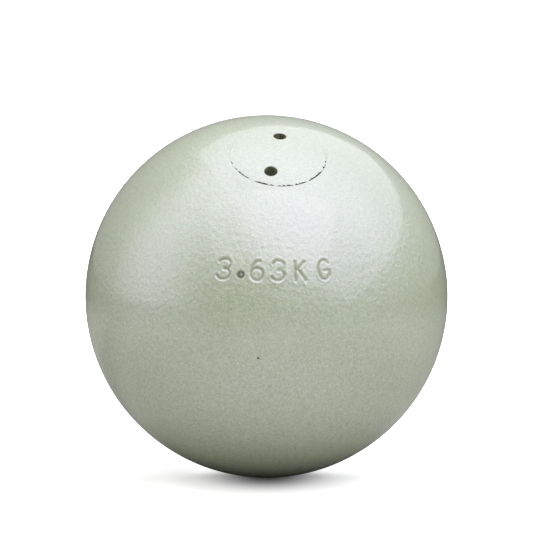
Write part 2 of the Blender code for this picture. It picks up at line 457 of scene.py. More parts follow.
def make_axis_group():
    """A place's distance from the chamber's leaning axis, and its height along it."""
    group, given, result = new_group("chamber_axis", (), ("Across", "Height"))
    inputs = {"Vector": given["Place"], "Rotation": (CHAMBER_LEAN, 0.0, CHAMBER_SWING)}
    upright = add_node(group, "ShaderNodeMapping", inputs, vector_type="TEXTURE").outputs["Vector"]
    inputs = {0: upright, 1: (1.0, 1.0, 0.0)}
    flat = add_node(group, "ShaderNodeVectorMath", inputs, operation="MULTIPLY").outputs["Vector"]
    connect(length_of(flat), result["Across"])
    connect(axes_of(upright)["Z"], result["Height"])
    return group


def make_turning_group():
    """A lathe tool's fine rings and drag, on the chamber's axis."""
    group, given, result = new_group("turning_marks", ("Rings", "Relief"), ("Height", "Shade"))
    across, height = use_group(chamber_axis, given["Place"])
    inputs = {"W": plus(across, height), "Scale": given["Rings"], "Detail": 2.0}
    line = add_node(group, "ShaderNodeTexNoise", inputs, noise_dimensions="1D").outputs["Fac"]
    connect(times(line, given["Relief"]), result["Height"])
    connect(minus(line, 0.5), result["Shade"])
    return group


chamber_axis = make_axis_group()
fine_grain = make_grain_group()
specks = make_specks_group()
turning_marks = make_turning_group()

# The paint's two colours, and its specks: cells in a metre, size, share of the cells
PAINT_COLOURS = ((0.497, 0.579, 0.374, 1.0), (0.515, 0.573, 0.388, 1.0))
PINPRICKS = (950.0, 0.26, 0.60)
PINPRICK_COLOUR = (0.13, 0.14, 0.08, 1.0)
DARK_SPECKS = (330.0, 0.13, 0.09)
DARK_SPECK_COLOUR = (0.13, 0.13, 0.08, 1.0)

# Painted shade, darker with depth, in the figures and then in the holes: from and to a depth,
# strength, colour
RECESS_PAINTED_SHADE = [
    (0.08 * MM, 0.30 * MM, 0.75, (0.250, 0.295, 0.070, 1.0)),
    (0.3 * MM, 0.9 * MM, 0.85, (0.045, 0.052, 0.018, 1.0)),
]

# Relief for the groups: scales and heights of the grain, and rings and relief of the turning
PAINT_GRAIN = (850.0, 2200.0, 0.000185, 0.000065)
DIRT_GRAIN = (700.0, 2200.0, 0.00002, 0.000006)
RUBBER_GRAIN = (900.0, 4200.0, 0.00003, 0.00002)
LEAD_GRAIN = (650.0, 2400.0, 0.00004, 0.000012)
IRON_TURNING = (5200.0, 0.000008)
STEEL_TURNING = (7600.0, 0.000006)


def new_material(name):
    material = bpy.data.materials.new(name)
    material.use_nodes = True
    nodes = material.node_tree.nodes
    place = nodes.new("ShaderNodeTexCoord").outputs["Object"]
    return material, nodes["Principled BSDF"], place


def make_paint():
    """Pale sage pearl paint under a clear gloss, sprayed over sanded iron."""
    material, shader, place = new_material("sage_pearl_paint")

    mottle = noise_value(place, 430.0, 3.0, 0.6)
    cloud = noise_value(place, 45.0, 2.0)
    grain, grain_shade = use_group(fine_grain, place, *PAINT_GRAIN)
    colour = mix_colour(ramp(mottle, 0.35, 0.65), *PAINT_COLOURS)
    coarser_below = ramp(axes_of(place)["Z"], -0.025, 0.030, 0.52, 0.28)
    shade = times(grain_shade, coarser_below)
    lighter = plus(shade, times(minus(cloud, 0.5), 0.05))
    colour = mix_colour(1.0, colour, join_colour(lighter, lighter, lighter), "ADD")

    pinpricks = use_group(specks, place, *PINPRICKS)["Mask"]
    share = times(pinpricks, times(coarser_below, 0.5))
    colour = mix_colour(share, colour, PINPRICK_COLOUR)
    dark_specks = use_group(specks, place, *DARK_SPECKS)["Mask"]
    colour = mix_colour(times(dark_specks, 0.55), colour, DARK_SPECK_COLOUR)

    # Painted shade: the paint darkens with depth below the ball's skin, in the stamped figures and the
    # holes
    depth = minus(BALL_RADIUS, length_of(place))
    for shallow, deep, strength, darker in RECESS_PAINTED_SHADE:
        share = times(ramp(depth, shallow, deep), strength)
        colour = mix_colour(share, colour, darker)

    across, height = use_group(chamber_axis, place)
    off_bead = maths("ABSOLUTE", minus(across, SEAM_BEAD_RADIUS))
    bead = ramp(off_bead, 0.0, SEAM_BEAD_HALF_WIDTH, 1.0, 0.0)
    bead = times(bead, ramp(height, 0.0, MM))
    bead = times(bead, ramp(noise_value(place, 170.0), 0.48, 0.60))
    feed(
        shader,
        base_color=colour,
        roughness=plus(times(grain_shade, 0.25), 0.40),
        normal=bump(plus(times(bead, SEAM_BEAD_HEIGHT), grain)),
        ior=3.0,
        specular_tint=(0.54, 0.48, 0.81, 1.0),
        coat_weight=1.0,
        coat_roughness=0.10,
        coat_ior=1.5,
    )
    return material


def make_surface(name, group, relief, patches, spread, colours, wear, uneven=0.0, metal=0.0):
    """A material of two colours in patches, over a group's relief, which makes it uneven.

    spread, wear and metal map the patches to its colour, its roughness and its metal."""
    material, shader, place = new_material(name)
    height, shade = use_group(group, place, *relief)
    spots = noise_value(place, *patches)
    feed(
        shader,
        base_color=mix_colour(ramp(spots, *spread), *colours),
        roughness=plus(times(shade, uneven), ramp(spots, *wear)),
        metallic=ramp(spots, *metal) if isinstance(metal, tuple) else metal,
        normal=bump(height),
    )
    return material


def make_felt():
    """Grey-brown pressed wool felt, with matted fibres."""
    material, shader, place = new_material("wool_felt")
    inputs = {"Vector": place, "Scale": 1500.0, "Detail": 5.0, "Roughness": 0.7, "Distortion": 2.5}
    fibres = add_node(place.id_data, "ShaderNodeTexNoise", inputs).outputs["Fac"]
    clumps = noise_value(place, 340.0, 3.0, 0.6)
    share = ramp(clumps, 0.35, 0.68)
    colour = mix_colour(share, (0.30, 0.27, 0.23, 1.0), (0.44, 0.41, 0.36, 1.0))
    share = ramp(fibres, 0.55, 0.8, 0.0, 0.6)
    feed(
        shader,
        base_color=mix_colour(share, colour, (0.60, 0.57, 0.52, 1.0)),
        roughness=ramp(fibres, 0.3, 0.7, 0.98, 0.86),
        normal=bump(plus(times(fibres, 0.00012), times(clumps, 0.00025))),
        sheen_weight=0.35,
        sheen_roughness=0.6,
    )
    return material


paint = make_paint()

# Thin matt paint down inside the spanner holes, much darker than the ball's: painted shade
shaded_hole_paint = make_surface(
    "painted_shade_in_holes",
    fine_grain,
    DIRT_GRAIN,
    patches=(900.0, 3.0, 0.6),
    spread=(0.38, 0.62),
    colours=((0.150, 0.162, 0.105, 1.0), (0.280, 0.300, 0.200, 1.0)),
    wear=(0.3, 0.7, 0.62, 0.85),
)

# Near-black paint down in the cracked seam and in the chips: painted shade
painted_crack_shade = make_surface(
    "painted_seam_shade",
    fine_grain,
    DIRT_GRAIN,
    patches=(700.0, 3.0, 0.6),
    spread=(0.35, 0.65),
    colours=((0.035, 0.032, 0.024, 1.0), (0.085, 0.080, 0.058, 1.0)),
    wear=(0.3, 0.7, 0.75, 0.92),
)

# Machined grey cast iron inside the ball, oiled, with a breath of rust
bare_iron = make_surface(
    "machined_iron",
    turning_marks,
    IRON_TURNING,
    patches=(160.0, 4.0, 0.6),
    spread=(0.52, 0.74),
    colours=((0.27, 0.265, 0.255, 1.0), (0.19, 0.125, 0.085, 1.0)),
    uneven=0.35,
    wear=(0.0, 1.0, 0.34, 0.54, "LINEAR"),
    metal=(0.52, 0.78, 1.0, 0.35),
)

# Turned bright steel of the plug's shank and thread, with a film of grease
bare_steel = make_surface(
    "turned_steel",
    turning_marks,
    STEEL_TURNING,
    patches=(210.0, 3.0, 0.55),
    spread=(0.48, 0.75),
    colours=((0.53, 0.52, 0.50, 1.0), (0.35, 0.31, 0.25, 1.0)),
    uneven=0.3,
    wear=(0.4, 0.75, 0.28, 0.48),
    metal=1.0,
)

# Black moulded rubber with a dusty bloom
rubber = make_surface(
    "black_rubber",
    fine_grain,
    RUBBER_GRAIN,
    patches=(320.0, 4.0, 0.6),
    spread=(0.42, 0.72),
    colours=((0.014, 0.014, 0.015, 1.0), (0.042, 0.041, 0.039, 1.0)),
    uneven=0.3,
    wear=(0.0, 1.0, 0.56, 0.56),
)
felt_wool = make_felt()

# Cast lead, dulled blue-grey, with brighter rubbed places
lead_metal = make_surface(
    "cast_lead",
    fine_grain,
    LEAD_GRAIN,
    patches=(420.0, 4.0, 0.62),
    spread=(0.38, 0.66),
    colours=((0.30, 0.31, 0.34, 1.0), (0.17, 0.175, 0.19, 1.0)),
    uneven=0.3,
    wear=(0.38, 0.66, 0.42, 0.68),
    metal=(0.4, 0.7, 0.95, 0.55),
)


# The stamped weight, struck with separate hand punches. Strokes are in shares of a figure's size

FIGURE_THREE = [
    curve(0.02, 0.245, 0.86, 0.51, 155, -88),
    curve(-0.02, -0.225, 0.96, 0.55, 82, -155),
]
FIGURE_SIX = [
    curve(0.0, -0.18, 0.96, 0.64, 0, 360),
    curve(0.14, -0.16, 1.24, 1.32, 180, 82),
]
LETTER_K = [
    [(-0.40, 0.50), (-0.40, -0.50)],
    [(0.42, 0.50), (-0.32, 0.02)],
    [(-0.18, 0.12), (0.46, -0.50)],
]
LETTER_G = [
    curve(0.0, 0.0, 0.98, 1.0, 45, 325) + [(0.42, -0.04), (0.02, -0.04)],
]

# Each punch: strokes, longitude, latitude, width, height, clockwise turn, depth
PUNCHES = [
    (FIGURE_THREE, -13.15, 14.45, 3.7 * MM, 5.2 * MM, 5.0, 1.00),
    (FIGURE_SIX, -2.9, 14.0, 3.2 * MM, 5.0 * MM, 0.0, 0.95),
    (FIGURE_THREE, 3.5, 14.05, 3.4 * MM, 5.1 * MM, 1.0, 1.00),
    (LETTER_K, 10.2, 13.8, 3.0 * MM, 4.8 * MM, -1.0, 0.97),
    (LETTER_G, 17.85, 14.05, 3.1 * MM, 4.9 * MM, -2.0, 0.97),
]
POINT_PUNCH = (-7.9, 12.8)
POINT_PUNCH_RADIUS = 1.20 * MM
POINT_PUNCH_DEPTH = 0.64 * MM
POINT_PUNCH_LIP = 0.05 * MM
STROKE_DEPTH = 0.30 * MM
STROKE_FLAT = 0.06 * MM
STROKE_REACH = 0.56 * MM
STROKE_LIP = 0.06 * MM

# Where the skin is refined for the mark: longitude and latitude, from and to
MARK_LONGITUDES = (-17.5, 21.5)
MARK_LATITUDES = (9.3, 18.8)
MARK_CUTS = 7

# Small chips and pits in the paint: longitude, latitude, radius
CHIPS = [
    (-2.5, -12.2, 0.55 * MM),
    (-80.4, 38.3, 0.55 * MM),
    (-40.8, 16.8, 0.28 * MM),
    (-22.7, 17.7, 0.25 * MM),
    (-61.0, 3.2, 0.30 * MM),
    (70.5, 53.9, 0.30 * MM),
    (55.9, 41.4, 0.25 * MM),
]
CHIP_DEPTH = 0.12 * MM
CHIP_CUTS = 4

# How far below the ball's radius a vertex, or a face to be refined, still counts as skin
SKIN_DEPTH = 0.12 * MM
REFINED_DEPTH = 0.1 * MM


def around(longitude, latitude, distance=BALL_RADIUS):
    """A point round the ball's centre: degrees right of its front, and degrees above its middle."""
    across = math.radians(longitude)
    up = math.radians(latitude)
    level = distance * math.cos(up)
    return Vector((level * math.sin(across), -level * math.cos(across), distance * math.sin(up)))


def flat_places(places, longitude, latitude):
    """Each place's distance right of and above a point on the ball, measured along it."""
    across = np.arctan2(places[:, 0], -places[:, 1]) - math.radians(longitude)
    up = np.arcsin(places[:, 2] / np.linalg.norm(places, axis=1)) - math.radians(latitude)
    return across * BALL_RADIUS * math.cos(math.radians(latitude)), up * BALL_RADIUS


def distance_to_stroke(right, up, stroke):
    """Distance from each place to the nearest point of a stroke's line."""
    nearest = np.full(len(right), 1.0)
    for (x0, y0), (x1, y1) in zip(stroke, stroke[1:]):
        length = max((x1 - x0) ** 2 + (y1 - y0) ** 2, 1e-18)
        share = np.clip(((right - x0) * (x1 - x0) + (up - y0) * (y1 - y0)) / length, 0.0, 1.0)
        gap = np.hypot(right - x0 - share * (x1 - x0), up - y0 - share * (y1 - y0))
        nearest = np.minimum(nearest, gap)
    return nearest


def hump(gap, middle, width):
    """A soft hump, 1 in its middle."""
    return np.exp(-(((gap - middle) / width) ** 2))


def stamp_weight(places):
    """Radial push of each place: soft grooves with slightly raised lips."""
    push = np.zeros(len(places))
    for strokes, longitude, latitude, width, height, turn, depth in PUNCHES:
        right, up = flat_places(places, longitude, latitude)
        angle = math.radians(turn)
        along = right * math.cos(angle) - up * math.sin(angle)
        above = right * math.sin(angle) + up * math.cos(angle)
        gap = np.full(len(places), 1.0)
        for stroke in strokes:
            line = [(x * width, y * height) for x, y in stroke]
            gap = np.minimum(gap, distance_to_stroke(along, above, line))
        groove = 1.0 - smooth_step(gap, STROKE_FLAT, STROKE_REACH)
        lip = hump(gap, 0.76 * MM, 0.20 * MM)
        uneven = np.ones(len(places))
        for index in np.flatnonzero(gap < 2 * MM):
            uneven[index] = 1.0 + 0.45 * noise.noise(Vector(places[index]) * 420.0)
        push += depth * (STROKE_LIP * lip - STROKE_DEPTH * uneven * groove)
    right, up = flat_places(places, *POINT_PUNCH)
    gap = np.hypot(right, up)
    dent = 1.0 - smooth_step(gap, 0.62 * POINT_PUNCH_RADIUS, POINT_PUNCH_RADIUS)
    push += POINT_PUNCH_DEPTH * (0.6 * hump(gap, 0.0, 0.32 * MM) - dent)
    push += POINT_PUNCH_LIP * hump(gap, 1.42 * MM, 0.18 * MM)
    return push


def chip_paint(places):
    """Radial push of each place for the chips in the paint."""
    push = np.zeros(len(places))
    for longitude, latitude, radius in CHIPS:
        gap = np.linalg.norm(places - np.array(around(longitude, latitude)), axis=1)
        push -= CHIP_DEPTH * (1.0 - smooth_step(gap, 0.35 * radius, radius))
    return push


def refine(piece, wanted, cuts):
    """Subdivides the faces of the ball's skin for which wanted(centre) holds."""
    start_editing(piece, "FACE")

    def on_skin(face):
        centre = face.calc_center_median()
        return centre.length > BALL_RADIUS - REFINED_DEPTH and wanted(centre)

    if select_where(piece, "faces", on_skin):
        bpy.ops.mesh.subdivide(number_cuts=cuts, ngon=False)
    stop_editing()


def in_mark(centre):
    longitude = math.degrees(math.atan2(centre.x, -centre.y))
    latitude = math.degrees(math.asin(centre.z / centre.length))
    in_width = MARK_LONGITUDES[0] < longitude < MARK_LONGITUDES[1]
    return in_width and MARK_LATITUDES[0] < latitude < MARK_LATITUDES[1]


def near_chip(centre, reach=1.7 * MM):
    return any(
        (centre - around(longitude, latitude)).length < reach
        for longitude, latitude, radius in CHIPS
    )


def ball_outline():
    """From the foot up the painted skin, over the mouth's rounded lip and down the bore."""
    lip_centre_radius = MOUTH_RADIUS + SEAM_ROUND
    lip_angle = math.asin(lip_centre_radius / (BALL_RADIUS - SEAM_ROUND))
    lip_centre_height = (BALL_RADIUS - SEAM_ROUND) * math.cos(lip_angle)
    fine_from = lip_angle + 2.0 * MM / BALL_RADIUS
    angles = [math.pi - (math.pi - fine_from) * ring / BALL_RINGS for ring in range(BALL_RINGS)]
    angles += [fine_from - (fine_from - lip_angle) * ring / 10 for ring in range(11)]
    outline = [(BALL_RADIUS * math.sin(angle), BALL_RADIUS * math.cos(angle)) for angle in angles]
    outline[0] = (0.0, -BALL_RADIUS)
    from_lip = 90 - math.degrees(lip_angle)
    outline += arc(lip_centre_radius, lip_centre_height, SEAM_ROUND, from_lip, 180)[1:]
    paint_end = lip_centre_height - PAINT_REACH
    outline += [
        (MOUTH_RADIUS, paint_end),
        (COUNTERBORE_RADIUS, paint_end - PAINT_TAPER),
        (COUNTERBORE_RADIUS, SEAT_HEIGHT + SEAT_CHAMFER),
        (COUNTERBORE_RADIUS - SEAT_CHAMFER, SEAT_HEIGHT),
        (CHAMBER_RADIUS + SEAT_CHAMFER, SEAT_HEIGHT),
        (CHAMBER_RADIUS, SEAT_HEIGHT - SEAT_CHAMFER),
        (CHAMBER_RADIUS, CONE_RIM_HEIGHT),
        (0.0, CONE_TIP_HEIGHT),
    ]
    return outline


def tap_profile():
    """The tapped groove's section, whose flanks run on into the open bore."""
    sunk = THREAD_GROOVE_RADIUS - THREAD_CREST_RADIUS
    bottom_half = THREAD_CREST_HALF - sunk * THREAD_FLANK_SLOPE + THREAD_FLANK_GAP
    inside = CHAMBER_RADIUS - THREAD_SINK / 2
    inside_half = bottom_half + (THREAD_GROOVE_RADIUS - inside) * THREAD_FLANK_SLOPE
    return [
        (inside, -inside_half),
        (THREAD_GROOVE_RADIUS, -bottom_half),
        (THREAD_GROOVE_RADIUS, bottom_half),
        (inside, inside_half),
    ]


def set_materials(piece, inner, has_holes=False):
    """Gives a piece paint, painted shade down in the seam, the chips and the spanner holes, or its
    bare metal, by the place of each face.
    """
    piece.data.materials.clear()
    for material in (paint, painted_crack_shade, inner):
        piece.data.materials.append(material)
    if has_holes:
        piece.data.materials.append(shaded_hole_paint)
    for polygon in piece.data.polygons:
        centre = polygon.center
        height = centre.dot(chamber_up)
        from_axis = (centre - chamber_up * height).length
        deep = BALL_RADIUS - centre.length
        in_seam = height > 0 and 12.1 * MM < from_axis < 12.9 * MM
        in_chip = deep > 0.5 * CHIP_DEPTH and near_chip(centre, 0.6 * MM)
        in_head = height > HEAD_UNDERSIDE + 0.2 * MM and from_axis < 10.5 * MM
        # Painted shade: dark paint on the spanner holes' walls, and near-black on the seam's crack and
        # the chips
        if has_holes and in_head and deep > 0.3 * MM:
            polygon.material_index = 3
        elif deep > PAINT_REACH * 1.1:
            polygon.material_index = 2
        elif in_seam and deep > 0.07 * MM or in_chip:
            polygon.material_index = 1


def make_ball():
    ball = turn_on_lathe("painted_ball", ball_outline(), BALL_SEGMENTS)
    tap = wind_thread("tap", tap_profile(), -TAPPED_TURNS_BELOW, TAPPED_TURNS)
    combine(ball, tap, "DIFFERENCE")
    lean_over(ball)
    refine(ball, in_mark, MARK_CUTS)
    refine(ball, near_chip, CHIP_CUTS)
    places = read_places(ball)
    distance = np.linalg.norm(places, axis=1)
    height = places @ np.array(chamber_up)
    from_axis = np.linalg.norm(places - np.outer(height, chamber_up), axis=1)
    beside_mouth = (from_axis > MOUTH_RADIUS + SEAM_ROUND) | (height < 0)
    skin = (distance > BALL_RADIUS - SKIN_DEPTH) & beside_mouth
    outward = places[skin] / distance[skin][:, None]
    true_skin = outward * BALL_RADIUS
    push = stamp_weight(true_skin) + chip_paint(true_skin)
    places[skin] = true_skin + outward * push[:, None]
    write_places(ball, places)
    set_materials(ball, bare_iron)
    shade_smooth(ball)
    return ball


# Places on the seam where the paint has cracked: from and to in degrees, and how wide
CRACKS = [
    (161.5, 165.5, 0.15 * MM),
    (-171.5, -165.5, 0.17 * MM),
    (-160.5, -153.5, 0.17 * MM),
    (-150.5, -132.5, 0.25 * MM),
    (-124.0, -99.0, 0.29 * MM),
    (-97.0, -77.0, 0.28 * MM),
    (-75.5, -59.5, 0.26 * MM),
    (-56.5, -29.5, 0.29 * MM),
    (-27.0, -16.0, 0.26 * MM),
    (-13.5, -9.0, 0.22 * MM),
    (-5.5, -2.0, 0.21 * MM),
    (2.0, 5.0, 0.17 * MM),
]
CRACK_TAPER = 1.6
CRACK_REACH = 0.45 * MM


def crack_width(angle):
    """How far the plug's painted edge stands back at an angle, in radians, round the seam."""
    degrees = math.degrees(angle)
    width = 0.0
    for first, last, widest in CRACKS:
        inside = min(degrees - first, last - degrees)
        if inside > 0:
            width = max(width, widest * min(1.0, inside / CRACK_TAPER))
    spot = Vector((math.cos(angle), math.sin(angle), 0.0))
    ragged = noise.noise(spot * 22.0) + 1.1 * noise.noise(spot * 61.0)
    return max(0.0, width * (1.0 + 1.4 * ragged))


def plug_outline():
    """From the dome's top over its painted edge, and down the head, shank and chamfered end."""
    edge_radius = PAINTED_HEAD_RADIUS - SEAM_ROUND
    edge_angle = math.asin(edge_radius / (BALL_RADIUS - SEAM_ROUND))
    edge_height = (BALL_RADIUS - SEAM_ROUND) * math.cos(edge_angle)
    angles = [edge_angle * (ring / DOME_RINGS) for ring in range(DOME_RINGS)]
    angles += [edge_angle * (1 - 0.035 * (1 - step / 4)) for step in range(1, 5)]
    outline = [(BALL_RADIUS * math.sin(angle), BALL_RADIUS * math.cos(angle)) for angle in angles]
    outline += arc(edge_radius, edge_height, SEAM_ROUND, 90 - math.degrees(edge_angle), 0)[1:]
    paint_end = edge_height - PAINT_REACH
    outline += [
        (PAINTED_HEAD_RADIUS, paint_end),
        (HEAD_RADIUS, paint_end - PAINT_TAPER),
        (HEAD_RADIUS, HEAD_UNDERSIDE + HEAD_EDGE_ROUND),
        (HEAD_RADIUS - HEAD_EDGE_SOFT, HEAD_UNDERSIDE + HEAD_EDGE_SOFT),
        (HEAD_RADIUS - HEAD_EDGE_ROUND, HEAD_UNDERSIDE),
        (SHANK_RADIUS + SHANK_FILLET, HEAD_UNDERSIDE),
        (SHANK_RADIUS + SHANK_FILLET_SOFT, HEAD_UNDERSIDE - SHANK_FILLET_SOFT),
        (SHANK_RADIUS, HEAD_UNDERSIDE - SHANK_FILLET),
        (SHANK_RADIUS, PLUG_END + PLUG_END_CHAMFER),
        (SHANK_RADIUS - PLUG_END_CHAMFER, PLUG_END),
        (0.0, PLUG_END),
    ]
    return outline


def ridge_profile():
    """The plug's thread: a flat crest with softened corners, and flanks that run into the shank."""
    base_radius = SHANK_RADIUS - THREAD_SINK
    base_half = THREAD_CREST_HALF + (THREAD_CREST_RADIUS - base_radius) * THREAD_FLANK_SLOPE
    flank_top = THREAD_CREST_HALF + THREAD_SOFT * THREAD_FLANK_SLOPE
    return [
        (base_radius, -base_half),
        (THREAD_CREST_RADIUS - THREAD_SOFT, -flank_top),
        (THREAD_CREST_RADIUS, -THREAD_CREST_HALF + THREAD_SOFT),
        (THREAD_CREST_RADIUS, THREAD_CREST_HALF - THREAD_SOFT),
        (THREAD_CREST_RADIUS - THREAD_SOFT, flank_top),
        (base_radius, base_half),
    ]


def fade_thread_ends(thread, turns):
    """Sinks a thread's first and last quarter turn into the shank, as a tool leaves it."""
    places = read_places(thread)
    base = SHANK_RADIUS - THREAD_SINK
    radius = np.hypot(places[:, 0], places[:, 1])
    per_step = len(places) // (round(THREAD_STEPS_PER_TURN * turns) + 1)
    heights = np.sort(places[:, 2])
    low = heights[:per_step].mean()
    high = heights[-per_step:].mean()
    turn = (places[:, 2] - low) / (high - low) * turns
    rise = np.clip(np.minimum(turn, turns - turn) / THREAD_FADE_TURNS + 0.1, 0.1, 1.0)
    reach = base + (radius - base) * rise
    places[:, :2] *= (reach / radius)[:, None]
    write_places(thread, places)


def spanner_hole_drill(side):
    """A drill with a cone point, flared along the dome where the paint rounds the hole's lip."""
    reach = side * SPANNER_HOLE_PITCH / 2
    x = SPANNER_HOLE_OFFSET_X + reach * math.cos(SPANNER_HOLE_TURN)
    y = SPANNER_HOLE_OFFSET_Y + reach * math.sin(SPANNER_HOLE_TURN)
    surface = math.sqrt(BALL_RADIUS**2 - x**2 - y**2)
    bottom = surface - SPANNER_HOLE_DEPTH
    outline = [(0.0, bottom - DRILL_POINT_DEPTH), (SPANNER_HOLE_RADIUS, bottom)]
    lip_radius = SPANNER_HOLE_RADIUS + SPANNER_HOLE_LIP
    lip_height = surface - 1.15 * SPANNER_HOLE_LIP
    outline += arc(lip_radius, lip_height, SPANNER_HOLE_LIP, 180, 90)
    flare_radius = SPANNER_HOLE_RADIUS + 2.2 * SPANNER_HOLE_LIP
    top = surface + 2 * MM
    outline += [(flare_radius, surface + 0.06 * MM), (flare_radius, top), (0.0, top)]
    drill = turn_on_lathe("drill", outline, DRILL_SEGMENTS)
    places = read_places(drill) + (x, y, 0.0)
    flare = places[:, 2] > surface - 2 * SPANNER_HOLE_LIP
    across = places[flare, 0] ** 2 + places[flare, 1] ** 2
    places[flare, 2] += np.sqrt(BALL_RADIUS**2 - across) - surface
    write_places(drill, places)
    return drill


def make_plug():
    plug = turn_on_lathe("painted_plug", plug_outline(), PLUG_SEGMENTS)
    thread = wind_thread("ridge", ridge_profile(), 0, THREAD_TURNS)
    fade_thread_ends(thread, THREAD_TURNS)
    places = read_places(plug)
    radius = np.hypot(places[:, 0], places[:, 1])
    reach_from = PAINTED_HEAD_RADIUS - CRACK_REACH
    edge = (radius > reach_from) & (places[:, 2] > HEAD_UNDERSIDE + 2 * MM)
    for index in np.flatnonzero(edge):
        share = (radius[index] - reach_from) / CRACK_REACH
        angle = math.atan2(places[index, 1], places[index, 0])
        back = crack_width(angle) * min(1.0, share)
        places[index, :2] *= (radius[index] - back) / radius[index]
    write_places(plug, places)
    combine(plug, thread, "UNION")
    for side in (1, -1):
        combine(plug, spanner_hole_drill(side), "DIFFERENCE")
    lean_over(plug)
    set_materials(plug, bare_steel, has_holes=True)
    shade_smooth(plug)
    return plug


def make_seal():
    """A flat rubber ring with rounded edges and a mould's thin parting line."""
    middle = (SEAL_BOTTOM + SEAL_TOP) / 2
    inner = SEAL_INNER_RADIUS + SEAL_ROUND
    outer = SEAL_OUTER_RADIUS - PARTING_RISE
    low = SEAL_BOTTOM + SEAL_ROUND
    high = SEAL_TOP - SEAL_ROUND
    outline = round_corner(inner, low, SEAL_ROUND, 180)
    outline += round_corner(outer - SEAL_ROUND, low, SEAL_ROUND, 270)
    outline += [
        (outer, middle - PARTING_HALF_BASE),
        (SEAL_OUTER_RADIUS, middle - PARTING_HALF_TOP),
        (SEAL_OUTER_RADIUS, middle + PARTING_HALF_TOP),
        (outer, middle + PARTING_HALF_BASE),
    ]
    outline += round_corner(outer - SEAL_ROUND, high, SEAL_ROUND, 0)
    outline += round_corner(inner, high, SEAL_ROUND, 90)
    seal = turn_on_lathe("rubber_seal", outline, SEAL_SEGMENTS, closed=True)
    seal.data.materials.append(rubber)
    lean_over(seal)
    shade_smooth(seal)
    return seal


def make_felt_disc():
    """A punched disc of thick felt: soft edges, a matted surface, and dents from the lead."""
    flat = FELT_RADIUS - FELT_ROUND
    outline = [(flat * ring / FELT_RINGS, FELT_BOTTOM) for ring in range(FELT_RINGS)]
    outline += round_corner(flat, FELT_BOTTOM + FELT_ROUND, FELT_ROUND, 270)
    side = FELT_TOP - FELT_BOTTOM - 2 * FELT_ROUND
    outline += [(FELT_RADIUS, FELT_BOTTOM + FELT_ROUND + side * step / 5) for step in range(1, 5)]
    outline += round_corner(flat, FELT_TOP - FELT_ROUND, FELT_ROUND, 0)
    outline += [(flat * ring / FELT_RINGS, FELT_TOP) for ring in reversed(range(FELT_RINGS))]
    felt = turn_on_lathe("felt_disc", outline, FELT_SEGMENTS)
    places = read_places(felt)
    middle = np.array([0.0, 0.0, (FELT_BOTTOM + FELT_TOP) / 2])
    for index, spot in enumerate(places):
        rough = noise.fractal(Vector(spot) * 900.0, 1.0, 2.0, 3)
        soft = noise.noise(Vector(spot) * 260.0)
        sink = 0.10 * MM + 0.05 * MM * rough + 0.07 * MM * soft
        inward = (middle - spot) * (1.0, 1.0, 2.2)
        places[index] += inward / max(np.linalg.norm(inward), 1e-9) * max(0.0, sink)
    for ball in range(LEAD_IN_RING):
        angle = math.tau * ball / LEAD_IN_RING
        spot = np.array([math.cos(angle), math.sin(angle)]) * LEAD_RING_RADIUS
        gap = np.linalg.norm(places[:, :2] - spot, axis=1)
        dent = FELT_DENT * (1.0 - smooth_step(gap, 0.4 * MM, 2.6 * MM))
        under = places[:, 2] < middle[2] - 1.2 * MM
        places[:, 2] += np.where(under, dent, 0.0)
    write_places(felt, places)
    felt.data.materials.append(felt_wool)
    lean_over(felt)
    shade_smooth(felt, FELT_SMOOTH_ANGLE)
    return felt


def make_lead_ball():
    """One cast ball with its mould's parting line and a clipped sprue."""
    bpy.ops.mesh.primitive_uv_sphere_add(segments=36, ring_count=18, radius=LEAD_BODY_RADIUS)
    ball = bpy.context.object
    ball.name = "lead_master"
    start_editing(ball, "EDGE")

    def on_parting(edge):
        return all(abs(vertex.co.z) < SAME_PLACE for vertex in edge.verts)

    select_where(ball, "edges", on_parting)
    bpy.ops.mesh.bevel(offset=0.09 * MM, segments=2, affect="EDGES")
    bpy.ops.mesh.select_all(action="DESELECT")
    bpy.ops.mesh.select_mode(type="VERT")
    select_where(ball, "verts", lambda vertex: abs(vertex.co.z) < 0.02 * MM)
    grow = LEAD_PARTING_RADIUS / LEAD_BODY_RADIUS
    bpy.ops.transform.resize(value=(grow, grow, 1.0))
    bpy.ops.mesh.select_all(action="SELECT")
    bpy.ops.mesh.bisect(
        plane_co=(0.0, 0.0, LEAD_RADIUS * LEAD_SPRUE_CUT),
        plane_no=(0.0, 0.0, 1.0),
        clear_outer=True,
        use_fill=True,
        threshold=SAME_PLACE,
    )
    finish_solid()
    return ball


# The pieces, and what each rides on and stands for

ball = make_ball()
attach(ball, "shell")
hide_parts("ball_body")

plug = make_plug()
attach(plug, "plug")
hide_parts("plug")

seal = make_seal()
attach(seal, "seal")
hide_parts("seal_ring")

felt = make_felt_disc()
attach(felt, "shell")
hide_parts("packing_felt")

turns = random.Random(7)
lead_master = make_lead_ball()
for name in sorted(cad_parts):
    if not name.startswith("lead_ball_"):
        continue
    low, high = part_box(name)
    cast = lead_master.copy()
    cast.data = lead_master.data.copy()
    cast.name = name.replace("lead_ball", "cast_lead")
    cast.data.name = cast.name
    bpy.context.scene.collection.objects.link(cast)
    turned = Matrix()
    for limit, axis in ((math.tau, "Z"), (math.pi, "X"), (math.tau, "Z")):
        turned = Matrix.Rotation(turns.uniform(0, limit), 4, axis) @ turned
    cast.data.transform(Matrix.Translation((low + high) / 2) @ turned)
    cast.data.materials.append(lead_metal)
    shade_smooth(cast, LEAD_SMOOTH_ANGLE)
    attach(cast, "shell")
    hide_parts(name)
bpy.data.objects.remove(lead_master, do_unlink=True)


# The floor and backdrop, the lights and the camera

FLOOR_SIZE = 40.0
FLOOR_HEIGHT = -BALL_RADIUS
FLOOR_SEEN = 0.86
FLOOR_BLUE = 0.90
LAMP_DISTANCE = 1.2
WALLS_STRENGTH = 0.27
